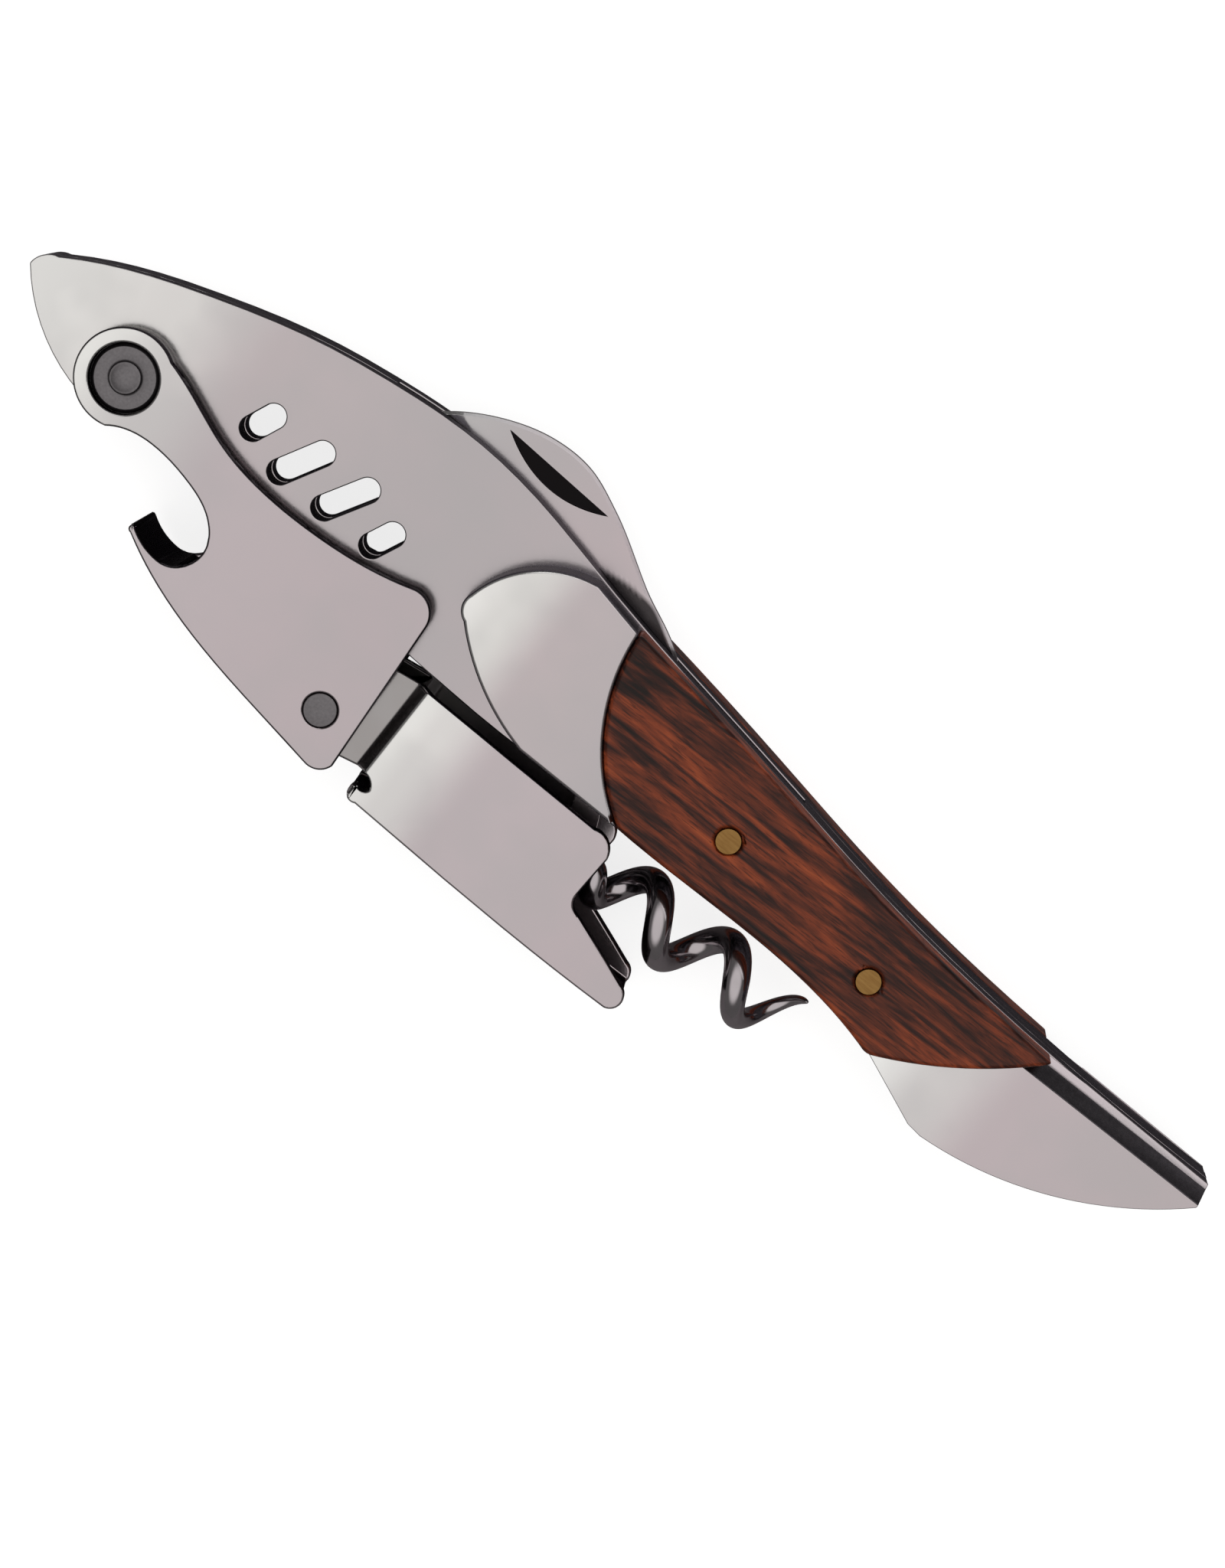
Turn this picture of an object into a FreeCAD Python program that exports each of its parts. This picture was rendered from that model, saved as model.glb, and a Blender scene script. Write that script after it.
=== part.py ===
"""Waiter's corkscrew with a fish-shaped handle, two-stage lever, folding worm and foil knife.

It is modelled lying on its rear side: +X runs from nose to tail, +Y towards the spine and the fin,
+Z out of the front side. Outlines are drawn about the middle of the handle's thickness, and the
finished pieces are then set down so that the origin is under the middle of the whole object.
"""
import FreeCAD, Part
import Sketcher
import math
import os

DRAWN_LENGTH = 138.4   # the outlines below are drawn for this nose-to-tail length
DRAWN_HEIGHT = 38.3    # and for this height from the lever's back to the top of the fin

SIZES = {
    # overall
    "overall_length": 138.4, "overall_height": 38.3,
    # handle stack, through its thickness
    "cavity_width": 1.9, "plate_thickness": 2.0, "scale_thickness": 4.0, "cap_thickness": 1.8,
    "cap_bevel_drop": 2.2, "cap_bevel_step": 0.8, "cap_bevel_rise": 0.5,
    "gill_radius": 1.18,
    # levers
    "lever_width": 11.1, "lever_sheet": 1.3, "tongue_sheet": 1.1, "tongue_clearance": 0.15,
    "web_thickness": 1.2, "pivot_radius": 1.5, "bush_radius": 3.24, "bush_flange_radius": 4.4,
    "bush_recess": 0.7, "bush_edge_break": 0.34, "flange_gap": 0.08, "rivet_radius": 1.62,
    "running_clearance": 0.05, "pin_crown": 0.15,
    # moving pieces inside the handle
    "blade_thickness": 1.3, "washer_gap": 0.03, "tang_radius": 3.2, "brass_pin_radius": 1.2,
    "eye_radius": 2.2, "worm_pin_radius": 1.0, "washer_radius": 2.0, "hidden_pin_radius": 0.9,
    "hidden_pin_cover": 1.2, "hidden_pin_wall": 0.77,
    # worm
    "wire_radius": 1.3, "worm_radius": 2.65, "worm_pitch": 9.2, "worm_turns": 2.8,
    "worm_point_radius": 0.2, "worm_taper_length": 7.0, "worm_run_in": 2.3, "worm_lead": 0.5,
    "collar_wall": 0.6, "collar_length": 2.2, "collar_floor": 0.8, "braze_gap": 0.04,
    "carrier_arm_width": 2.8, "sweep_clearance": 0.12,
}

doc = FreeCAD.newDocument("waiters_corkscrew")
sheet = doc.addObject("Spreadsheet::Sheet", "Sizes")
for row, (alias, value) in enumerate(SIZES.items(), start=1):
    sheet.set("A%d" % row, alias)
    sheet.set("B%d" % row, str(value))
    sheet.setAlias("B%d" % row, alias)
doc.recompute()


def size(alias):
    """The plain number that the sheet holds under this alias."""
    return float(getattr(sheet, alias))


ALONG = size("overall_length") / DRAWN_LENGTH
ACROSS = size("overall_height") / DRAWN_HEIGHT


def at(x, y, z=0.0):
    """A drawn point, moved to suit the overall length and height."""
    return FreeCAD.Vector(x * ALONG, y * ACROSS, z)


# Pivots and fixings, as drawn points
LEVER_PIVOT = (-55.8, -2.4)
LEVER_HINGE = (-23.2, -15.4)
WORM_PIVOT = (0.5, -5.0)
KNIFE_PIVOT = (13.6, -1.2)
SCALE_PIN = (31.8, -3.4)
TAIL_PINS = [(51.0, -5.2), (58.5, -4.2)]
WORM_AXIS_Y = -12.45
WORM_COLLAR_X = 3.1
CHEEK_CORNER = (-19.85, -19.9)      # the upper lever's corner that the lower lever's step passes
LOWER_LEVER_BACK = 21.0             # how far the lower lever's web lies below the handle's middle
STEP_RUN = 1.1                      # how much of its length the lower lever takes to step inwards
FRONT_CROSSING_X = 13.9      # a place where the wire passes over the front of the worm
RINGS_PER_TURN = 16
RINGS_PER_SPAN = 4


def carrier_foot():
    """The middle of the worm carrier's arm where it meets the wire."""
    return at(WORM_COLLAR_X, WORM_AXIS_Y) + FreeCAD.Vector(size("collar_floor"), 0, 0)


# The belly spacer ends clear of the carrier arm's far corner as it swings, and a pin stands behind
CARRIER_REACH = math.hypot((carrier_foot() - at(*WORM_PIVOT)).Length, size("carrier_arm_width") / 2)
SPACER_END_X = (at(*WORM_PIVOT).x - CARRIER_REACH - size("sweep_clearance")) / ALONG
PIN_SETBACK = (size("hidden_pin_radius") + size("hidden_pin_wall")) / ALONG
BOLSTER_PINS = [(-12.0, -2.2), (SPACER_END_X - PIN_SETBACK, -4.3)]

# Levels through the thickness, as expressions on the sheet, measured from the middle
PLATE_IN = "Sizes.cavity_width / 2"
PLATE_OUT = "(Sizes.cavity_width / 2 + Sizes.plate_thickness)"
SCALE_OUT = "(Sizes.cavity_width / 2 + Sizes.plate_thickness + Sizes.scale_thickness)"
CAP_OUT = "(Sizes.cavity_width / 2 + Sizes.plate_thickness + Sizes.cap_thickness)"

plate_in = size("cavity_width") / 2
plate_out = plate_in + size("plate_thickness")
cap_out = plate_out + size("cap_thickness")
lever_in = size("lever_width") / 2 - size("lever_sheet")

nodes = []


# ---------------------------------------------------------------- drawing helpers
def new_body(name):
    """An empty body that becomes one sub-part."""
    body = doc.addObject("PartDesign::Body", name)
    body.Label = name
    return body


def new_sketch(body, name, plane="XY_Plane", level=None):
    """A sketch on one of the body's own origin planes, lifted by an expression if one is given."""
    drawn = body.newObject("Sketcher::SketchObject", name)
    origin = [item for item in body.Origin.OriginFeatures if item.Role == plane][0]
    drawn.AttachmentSupport = [(origin, "")]
    drawn.MapMode = "FlatFace"
    if level:
        drawn.setExpression("AttachmentOffset.Base.z", level)
    return drawn


def draw(drawn, start, steps):
    """A closed outline: ("line", end), ("arc", mid, end) or ("curve", [points]) steps from start."""
    here = start
    for kind, *points in steps:
        if kind == "line":
            drawn.addGeometry(Part.LineSegment(here, points[0]), False)
            here = points[0]
        elif kind == "arc":
            drawn.addGeometry(Part.Arc(here, points[0], points[1]), False)
            here = points[1]
        else:
            curve = Part.BSplineCurve()
            curve.interpolate([here] + points[0])
            drawn.addGeometry(curve, False)
            here = points[0][-1]


def add_circles(drawn, centres, radius):
    """Circles whose radius is bound to an expression on the sheet."""
    for centre in centres:
        number = drawn.addGeometry(Part.Circle(centre, FreeCAD.Vector(0, 0, 1), 1.0), False)
        constraint = Sketcher.Constraint("Radius", number, 1.0)
        constraint.Name = "radius_%d" % number
        drawn.addConstraint(constraint)
        drawn.setExpression("Constraints." + constraint.Name, radius)


def pad(body, drawn, length, side=1, middle=False):
    """Extrude a sketch by an expression, to the front (1), to the rear (-1) or about its plane."""
    made = body.newObject("PartDesign::Pad", drawn.Name + "_pad")
    made.Profile = drawn
    made.setExpression("Length", length)
    made.Midplane = middle
    made.Reversed = side < 0
    drawn.Visibility = False
    return made


def pocket(body, drawn, length=None, middle=False, reverse=False):
    """Cut a sketch out of the body: by a length, or right through both ways when none is given."""
    before = body_volume(body)
    made = body.newObject("PartDesign::Pocket", drawn.Name + "_pocket")
    made.Profile = drawn
    if length:
        made.setExpression("Length", length)
    else:
        made.Type = "ThroughAll"
    made.Midplane = middle or not length
    made.Reversed = reverse
    doc.recompute()
    if not made.Shape.Volume < before - 1e-6:
        raise RuntimeError(drawn.Name + " cuts nothing away")
    return made


def body_volume(body):
    """The volume that the body has so far."""
    doc.recompute()
    return body.Shape.Volume


def holes(body, name, centres, radius):
    """Round holes right through the body."""
    drawn = new_sketch(body, name)
    add_circles(drawn, [at(*centre) for centre in centres], radius)
    pocket(body, drawn)


def break_edges(body, level, amount):
    """Chamfer the edges that lie in the face at this level."""
    doc.recompute()
    base = body.Tip
    flat = [number for number, edge in enumerate(base.Shape.Edges, start=1)
            if abs(edge.BoundBox.ZMin - level) < 1e-4 and abs(edge.BoundBox.ZMax - level) < 1e-4]
    made = body.newObject("PartDesign::Chamfer", body.Name + "_edge_break")
    made.Base = (base, ["Edge%d" % number for number in flat])
    made.setExpression("Size", amount)
    return made


def finish(node):
    """Count this object as a finished sub-part."""
    nodes.append(node)
    return node


def pin(name, place, radius, half_length):
    """A round pin through the thickness, with softened ends. Both sizes are expressions."""
    bar = doc.addObject("Part::Cylinder", name + "_bar")
    bar.setExpression("Radius", radius)
    bar.setExpression("Height", "2 * " + half_length)
    bar.Placement.Base = at(*place)
    bar.setExpression("Placement.Base.z", "-1 * " + half_length)
    doc.recompute()
    soft = doc.addObject("Part::Fillet", name)
    soft.Base = bar
    ends = [number for number, edge in enumerate(bar.Shape.Edges, start=1)
            if edge.BoundBox.ZLength < 1e-6]
    soft.Edges = [(number, size("pin_crown"), size("pin_crown")) for number in ends]
    soft.Label = name
    return soft


def group(name, members):
    """Several separate solids that share one node."""
    made = doc.addObject("Part::Compound", name)
    made.Links = members
    made.Label = name
    return made


# ---------------------------------------------------------------- outlines of the handle
NOSE_TIP = at(-69.2, 0.2)
NOSE_TOP = at(-67.4, 2.3)
SPINE = [(-62.0, 5.2), (-54.0, 8.2), (-45.0, 10.8), (-36.1, 12.3), (-27.0, 12.9), (-18.5, 12.0),
         (-9.0, 9.9), (1.3, 7.9), (13.6, 5.8), (29.0, 3.1), (46.0, 1.4), (69.0, 0.8)]
LOWER = [(30.8, -7.7), (24.0, -6.95), (14.0, -6.85), (2.0, -6.9), (-9.0, -7.2), (-20.0, -6.7),
         (-35.0, -5.8), (-46.0, -5.2), (-52.0, -5.5)]
TAIL_TOP = at(69.0, 0.8)
TAIL_TIP = at(69.2, -1.4)
TAIL_CORNER = at(45.0, -12.25)
TAIL_HEEL = at(43.4, -12.05)
HEEL_TOP = at(36.4, -9.1)
CHIN = at(-58.6, -6.45)


def spline_y(points, x):
    """The height of the smooth line through drawn points, at a drawn x."""
    curve = Part.BSplineCurve()
    curve.interpolate([at(*point) for point in points])
    upright = Part.LineSegment(at(x, -60.0), at(x, 60.0))
    return curve.intersectCC(upright)[0].Y / ACROSS


def spine_between(first, last):
    """The drawn spine points from one x to another, with the ends worked out on the line."""
    whole = [(-67.4, 2.3)] + SPINE
    inner = [point for point in whole if first + 1.0 < point[0] < last - 1.0]
    low = (first, spline_y(whole, first))
    high = (last, spline_y(whole, last)) if last < SPINE[-1][0] else SPINE[-1]
    return [at(*point) for point in [low] + inner + [high]]


def lower_between(first, last):
    """The drawn lower-edge points from one x down to a smaller one."""
    whole = [(36.4, -9.1)] + LOWER
    inner = [point for point in whole if last + 1.0 < point[0] < first - 1.0]
    return [at(*point) for point in
            [(first, spline_y(whole, first))] + inner + [(last, spline_y(whole, last))]]


def handle_outline(drawn):
    """The whole side shape: nose, spine, tail and lower edge."""
    draw(drawn, NOSE_TIP, [
        ("arc", at(-68.75, 1.45), NOSE_TOP),
        ("curve", [at(*point) for point in SPINE]),
        ("line", TAIL_TIP),
        ("arc", at(58.3, -8.9), TAIL_CORNER),
        ("line", TAIL_HEEL),
        ("line", HEEL_TOP),
        ("curve", [at(*point) for point in LOWER]),
        ("arc", at(-55.4, -6.55), CHIN),
        ("arc", at(-64.3, -4.2), NOSE_TIP)])


# ---------------------------------------------------------------- handle pieces
GILLS = [((-44.0, 0.9), (-43.1, 3.0)), ((-39.6, -0.7), (-37.5, 3.1)),
         ((-34.4, -0.8), (-32.2, 3.0)), ((-28.8, -0.8), (-27.9, 1.2))]


def gill_outline(drawn, low, high):
    """A round-ended slot between two lobe centres."""
    radius = size("gill_radius")
    low, high = at(*low), at(*high)
    line = (high - low).normalize()
    side = FreeCAD.Vector(-line.y, line.x, 0) * radius
    draw(drawn, low + side, [
        ("arc", low - line * radius, low - side),
        ("line", high - side),
        ("arc", high + line * radius, high + side),
        ("line", low + side)])


def body_plate(name, side):
    """One of the two full-length steel plates of the handle."""
    body = new_body(name)
    outline = new_sketch(body, name + "_outline", level="%d * %s" % (side, PLATE_IN))
    handle_outline(outline)
    pad(body, outline, "Sizes.plate_thickness", side)
    gills = new_sketch(body, name + "_gills")
    for low, high in GILLS:
        gill_outline(gills, low, high)
    pocket(body, gills)
    holes(body, name + "_lever_hole", [LEVER_PIVOT], "Sizes.pivot_radius")
    holes(body, name + "_brass_holes", [KNIFE_PIVOT, SCALE_PIN], "Sizes.brass_pin_radius")
    holes(body, name + "_worm_hole", [WORM_PIVOT], "Sizes.worm_pin_radius")
    holes(body, name + "_pin_holes", BOLSTER_PINS + TAIL_PINS, "Sizes.hidden_pin_radius")
    return finish(body)


SLOT_START_X = -36.1     # the knife's slot in the spine begins here
SLOT_END_X = 17.4        # and ends against the tail spacer


def nose_spacer():
    """The piece that fills the cavity in the nose and along the brow, ahead of the knife slot."""
    body = new_body("nose_spacer")
    outline = new_sketch(body, "nose_spacer_outline")
    edge_x = -49.0
    lower = [(36.4, -9.1)] + LOWER
    draw(outline, NOSE_TIP, [
        ("arc", at(-68.75, 1.45), NOSE_TOP),
        ("curve", [point for point in spine_between(-67.4, SLOT_START_X)][1:]),
        ("line", at(SLOT_START_X, 7.0)),
        ("arc", at(-43.0, 6.8), at(edge_x, 4.0)),
        ("line", at(edge_x, spline_y(lower, edge_x))),
        ("line", at(-52.0, -5.5)),
        ("arc", at(-55.4, -6.55), CHIN),
        ("arc", at(-64.3, -4.2), NOSE_TIP)])
    pad(body, outline, "Sizes.cavity_width", middle=True)
    holes(body, "nose_spacer_hole", [LEVER_PIVOT], "Sizes.pivot_radius")
    return finish(body)


def belly_spacer():
    """The piece between the plates under the knife's edge, held by the bolster's pins."""
    body = new_body("belly_spacer")
    outline = new_sketch(body, "belly_spacer_outline")
    lower = lower_between(SPACER_END_X, -25.6)
    draw(outline, lower[0], [
        ("curve", lower[1:]),
        ("line", at(-25.6, -1.2)),
        ("line", at(-13.0, -0.6)),
        ("line", at(SPACER_END_X, -2.35)),
        ("line", lower[0])])
    pad(body, outline, "Sizes.cavity_width", middle=True)
    holes(body, "belly_spacer_holes", BOLSTER_PINS, "Sizes.hidden_pin_radius")
    return finish(body)


def tail_spacer():
    """The long piece that fills the cavity from the end of the knife slot to the tail."""
    body = new_body("tail_spacer")
    outline = new_sketch(body, "tail_spacer_outline")
    spine = spine_between(SLOT_END_X, 69.0)
    lower = lower_between(35.0, SLOT_END_X)
    draw(outline, spine[0], [
        ("curve", spine[1:]),
        ("line", TAIL_TIP),
        ("arc", at(58.3, -8.9), TAIL_CORNER),
        ("line", TAIL_HEEL),
        ("line", HEEL_TOP),
        ("line", lower[0]),
        ("curve", lower[1:]),
        ("line", spine[0])])
    pad(body, outline, "Sizes.cavity_width", middle=True)
    holes(body, "tail_spacer_brass_hole", [SCALE_PIN], "Sizes.brass_pin_radius")
    holes(body, "tail_spacer_pin_holes", TAIL_PINS, "Sizes.hidden_pin_radius")
    return finish(body)


BOLSTER_TOP = at(-4.6, 8.75)       # where bolster, wood and spine meet
BOLSTER_FOOT = at(5.0, -6.75)      # where bolster, wood and lower edge meet
BOLSTER_WAIST = at(-2.3, 0.9)      # the hollow side of the seam between bolster and wood


def blind_holes(body, name, centres, radius, depth, side, level):
    """Round holes sunk into the inner face of a cover, from the level of that face outwards."""
    drawn = new_sketch(body, name, level="%d * %s" % (side, level))
    add_circles(drawn, [at(*centre) for centre in centres], radius)
    pocket(body, drawn, depth, reverse=side > 0)


def bolster(name, side):
    """The polished steel cheek in front of the wood."""
    body = new_body(name)
    outline = new_sketch(body, name + "_outline", level="%d * %s" % (side, PLATE_OUT))
    draw(outline, BOLSTER_TOP, [
        ("line", at(-10.2, 9.9)),
        ("arc", at(-15.9, 7.2), at(-18.9, 2.0)),
        ("arc", at(-18.9, 0.6), at(-17.9, -0.4)),
        ("arc", at(-13.0, -4.1), at(-6.6, -6.6)),
        ("line", BOLSTER_FOOT),
        ("arc", BOLSTER_WAIST, BOLSTER_TOP)])
    pad(body, outline, "Sizes.scale_thickness", side)
    depth = "Sizes.scale_thickness - Sizes.hidden_pin_cover"
    blind_holes(body, name + "_worm_hole", [WORM_PIVOT], "Sizes.worm_pin_radius", depth, side,
                PLATE_OUT)
    blind_holes(body, name + "_pin_holes", BOLSTER_PINS, "Sizes.hidden_pin_radius", depth, side,
                PLATE_OUT)
    return finish(body)


def scale(name, side):
    """One of the two wooden grips."""
    body = new_body(name)
    outline = new_sketch(body, name + "_outline", level="%d * %s" % (side, PLATE_OUT))
    spine = spine_between(-4.6, 49.9)
    lower = lower_between(35.9, 5.0)
    draw(outline, BOLSTER_TOP, [
        ("curve", spine[1:]),
        ("arc", at(43.4, -4.6), lower[0]),
        ("curve", lower[1:-1] + [BOLSTER_FOOT]),
        ("arc", BOLSTER_WAIST, BOLSTER_TOP)])
    pad(body, outline, "Sizes.scale_thickness", side)
    holes(body, name + "_pin_holes", [KNIFE_PIVOT, SCALE_PIN], "Sizes.brass_pin_radius")
    return finish(body)


def tail_cap(name, side):
    """The steel cover that thickens the tail, bevelled in two steps along the spine."""
    body = new_body(name)
    outline = new_sketch(body, name + "_outline", level="%d * %s" % (side, PLATE_OUT))
    spine = spine_between(49.9, 69.0)
    draw(outline, spine[0], [
        ("curve", spine[1:]),
        ("line", TAIL_TIP),
        ("arc", at(58.3, -8.9), TAIL_CORNER),
        ("line", TAIL_HEEL),
        ("line", HEEL_TOP),
        ("line", lower_between(35.9, 5.0)[0]),
        ("arc", at(43.4, -4.6), spine[0])])
    pad(body, outline, "Sizes.cap_thickness", side)
    blind_holes(body, name + "_pin_holes", TAIL_PINS, "Sizes.hidden_pin_radius",
                "Sizes.cap_thickness - Sizes.hidden_pin_cover / 2", side, PLATE_OUT)
    bevel = new_sketch(body, name + "_bevel", plane="YZ_Plane")
    top = ACROSS * 1.1
    past = 3.0
    corners = [(top - size("cap_bevel_drop"), cap_out + past), (top - size("cap_bevel_drop"), cap_out),
               (top - size("cap_bevel_step"), plate_out + size("cap_bevel_rise")), (top, plate_out),
               (top + past, plate_out), (top + past, cap_out + past)]
    points = [FreeCAD.Vector(y, side * z, 0) for y, z in corners]
    draw(bevel, points[0], [("line", point) for point in points[1:] + points[:1]])
    pocket(body, bevel)
    return finish(body)


# ---------------------------------------------------------------- levers
def lever_bush(name, side):
    """A shouldered bush that the upper lever turns on: flange against the plate, spigot in the lever."""
    body = new_body(name)
    seat = new_sketch(body, name + "_flange", level="%d * %s" % (side, PLATE_OUT))
    add_circles(seat, [at(*LEVER_PIVOT)], "Sizes.bush_flange_radius")
    gap = "Sizes.lever_width / 2 - Sizes.lever_sheet - Sizes.flange_gap - " + PLATE_OUT
    pad(body, seat, gap, side)
    spigot = new_sketch(body, name + "_spigot", level="%d * %s" % (side, PLATE_OUT))
    add_circles(spigot, [at(*LEVER_PIVOT)], "Sizes.bush_radius")
    pad(body, spigot, "Sizes.lever_width / 2 - Sizes.bush_recess - " + PLATE_OUT, side)
    break_edges(body, side * (size("lever_width") / 2 - size("bush_recess")), "Sizes.bush_edge_break")
    holes(body, name + "_bore", [LEVER_PIVOT], "Sizes.pivot_radius")
    return finish(body)


def lever_upper():
    """The first lever: two cheeks joined by a web at the cap lifter's tooth."""
    body = new_body("lever_upper")
    outline = new_sketch(body, "lever_upper_outline")
    draw(outline, at(-53.2, 1.5), [
        ("arc", at(-60.5, -2.6), at(-54.6, -6.95)),
        ("curve", [at(-52.6, -5.95), at(-49.5, -5.65), at(-45.6, -6.3), at(-42.2, -7.8),
                   at(-40.5, -10.6), at(-41.5, -13.0), at(-43.4, -13.75)]),
        ("arc", at(-45.3, -13.4), at(-47.0, -12.5)),
        ("arc", at(-47.3, -12.9), at(-46.9, -13.3)),
        ("curve", [at(-42.4, -15.5), at(-36.1, -17.5), at(-29.0, -18.95), at(-21.4, -20.25)]),
        ("arc", at(*CHEEK_CORNER), at(-19.15, -18.9)),
        ("line", at(-20.2, -3.2)),
        ("arc", at(-21.0, -1.6), at(-23.2, -1.05)),
        ("curve", [at(-28.0, -2.2), at(-33.5, -2.75), at(-39.5, -2.65), at(-45.0, -1.6),
                   at(-50.0, 0.4), at(-53.2, 1.5)])])
    pad(body, outline, "Sizes.lever_width", middle=True)
    hollow = new_sketch(body, "lever_upper_hollow")
    web_end = -33.5
    draw(hollow, at(-75.0, 12.0), [
        ("line", at(-10.0, 12.0)),
        ("line", at(-10.0, -30.0)),
        ("line", at(web_end, -30.0)),
        ("line", at(web_end, -16.9)),
        ("curve", [at(-37.5, -15.7), at(-40.3, -14.3), at(-42.0, -12.2)]),
        ("line", at(-75.0, -12.2)),
        ("line", at(-75.0, 12.0))])
    pocket(body, hollow, "Sizes.lever_width - 2 * Sizes.lever_sheet", middle=True)
    holes(body, "lever_upper_boss_bore", [LEVER_PIVOT], "Sizes.bush_radius + Sizes.running_clearance")
    holes(body, "lever_upper_hinge_hole", [LEVER_HINGE], "Sizes.rivet_radius")
    return finish(body)


def lever_lower():
    """The second lever: a channel with the end claw, stepped in to a tongue at the hinge."""
    body = new_body("lever_lower")
    outline = new_sketch(body, "lever_lower_outline")
    draw(outline, at(-16.9, -7.85), [
        ("line", at(3.4, -8.25)),
        ("arc", at(5.5, -8.7), at(6.1, -9.8)),
        ("line", at(5.95, -14.2)),
        ("arc", at(6.3, -15.2), at(7.3, -15.7)),
        ("curve", [at(10.8, -17.0), at(14.4, -18.4)]),
        ("arc", at(15.5, -19.8), at(14.4, -21.05)),
        ("curve", [at(6.0, -21.1), at(-4.0, -20.85), at(-15.4, -20.35)]),
        ("arc", at(-16.75, -19.6), at(-16.35, -18.8)),
        ("arc", at(-15.4, -18.9), at(-15.1, -18.5)),
        ("arc", at(-15.6, -17.8), at(-16.6, -17.5)),
        ("line", at(-22.2, -18.7)),
        ("arc", at(-26.6, -15.4), at(-24.6, -12.2)),
        ("line", at(-22.4, -8.6)),
        ("line", at(-16.9, -7.85))])
    pad(body, outline, "Sizes.lever_width", middle=True)
    outside = size("lever_width") / 2
    tongue_out = lever_in - size("tongue_clearance")
    tongue_in = tongue_out - size("tongue_sheet")
    hinge = at(*LEVER_HINGE)
    step_in = hinge.x + (at(*CHEEK_CORNER) - hinge).Length + size("sweep_clearance")
    step_out = step_in + STEP_RUN
    end = at(-30.0, 0).x
    past = 3.0
    for side, word in ((1, "front"), (-1, "rear")):
        step = new_sketch(body, "lever_lower_step_" + word, plane="XZ_Plane")
        points = [FreeCAD.Vector(x, side * z, 0) for x, z in (
            (step_out, outside), (step_in, tongue_out), (end, tongue_out),
            (end, outside + past), (step_out, outside + past))]
        draw(step, points[0], [("line", point) for point in points[1:] + points[:1]])
        pocket(body, step)
    hollow = new_sketch(body, "lever_lower_hollow", plane="XZ_Plane")
    inner_in = step_in + size("lever_sheet") / 2
    inner_out = step_out + size("lever_sheet") / 2
    mouth = at(20.0, 0).x
    points = [FreeCAD.Vector(x, z, 0) for x, z in (
        (end, -tongue_in), (inner_in, -tongue_in), (inner_out, -lever_in), (mouth, -lever_in),
        (mouth, lever_in), (inner_out, lever_in), (inner_in, tongue_in), (end, tongue_in))]
    draw(hollow, points[0], [("line", point) for point in points[1:] + points[:1]])
    pocket(body, hollow, "%r * Sizes.overall_height / %r - Sizes.web_thickness"
           % (LOWER_LEVER_BACK, DRAWN_HEIGHT), reverse=True)
    holes(body, "lever_lower_hinge_hole", [LEVER_HINGE], "Sizes.rivet_radius + Sizes.running_clearance")
    return finish(body)


# ---------------------------------------------------------------- knife
def knife_blade():
    """The foil knife: a fin-shaped blade with a narrow neck and a round tang."""
    body = new_body("knife_blade")
    outline = new_sketch(body, "knife_blade_outline")
    pivot = at(*KNIFE_PIVOT)
    tang = size("tang_radius")

    def on_tang(degrees):
        turn = math.radians(degrees)
        return pivot + FreeCAD.Vector(math.cos(turn), math.sin(turn), 0) * tang

    draw(outline, at(-33.0, 11.3), [
        ("curve", [at(-30.2, 13.55), at(-26.0, 15.85), at(-21.5, 17.1), at(-17.3, 17.0),
                   at(-13.0, 15.3), at(-6.5, 11.5), at(0.4, 7.6)]),
        ("curve", [at(3.2, 4.6), at(5.6, 1.4), at(9.0, 0.5)]),
        ("line", on_tang(135)),
        ("arc", on_tang(0), on_tang(-130)),
        ("line", at(8.6, -2.4)),
        ("curve", [at(2.0, -1.4), at(-8.0, 1.2), at(-20.0, 4.6), at(-28.0, 7.8), at(-33.0, 11.3)])])
    pad(body, outline, "Sizes.blade_thickness", middle=True)
    holes(body, "knife_blade_bore", [KNIFE_PIVOT], "Sizes.brass_pin_radius + Sizes.running_clearance")
    return finish(body)


def washers(name, place, bore):
    """A thin washer each side of a moving piece, against the plates."""
    rings = []
    for side, word in ((1, "front"), (-1, "rear")):
        ring = new_body(name + "_" + word)
        drawn = new_sketch(ring, ring.Name + "_outline", level="%d * %s" % (side, PLATE_IN))
        add_circles(drawn, [at(*place)], "Sizes.washer_radius")
        add_circles(drawn, [at(*place)], bore)
        pad(ring, drawn, "Sizes.cavity_width / 2 - Sizes.blade_thickness / 2 - Sizes.washer_gap", -side)
        rings.append(ring)
    return finish(group(name, rings))


# ---------------------------------------------------------------- worm
def worm_root():
    """Where the wire starts, at the bottom of the collar's bore."""
    return WORM_COLLAR_X * ALONG + size("collar_floor")


def worm_point(x):
    """The wire's centre at a distance along the worm, and the direction from the worm's axis to it."""
    angle = math.radians(90.0) + 2.0 * math.pi * (x - FRONT_CROSSING_X * ALONG) / size("worm_pitch")
    straight = size("collar_length") - size("collar_floor") + size("worm_lead")
    share = max(0.0, min(1.0, (x - worm_root() - straight) / size("worm_run_in")))
    radius = size("worm_radius") * share * share * (3.0 - 2.0 * share)
    out = FreeCAD.Vector(0, math.cos(angle), math.sin(angle))
    return FreeCAD.Vector(x, WORM_AXIS_Y * ACROSS, 0) + out * radius, out


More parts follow.
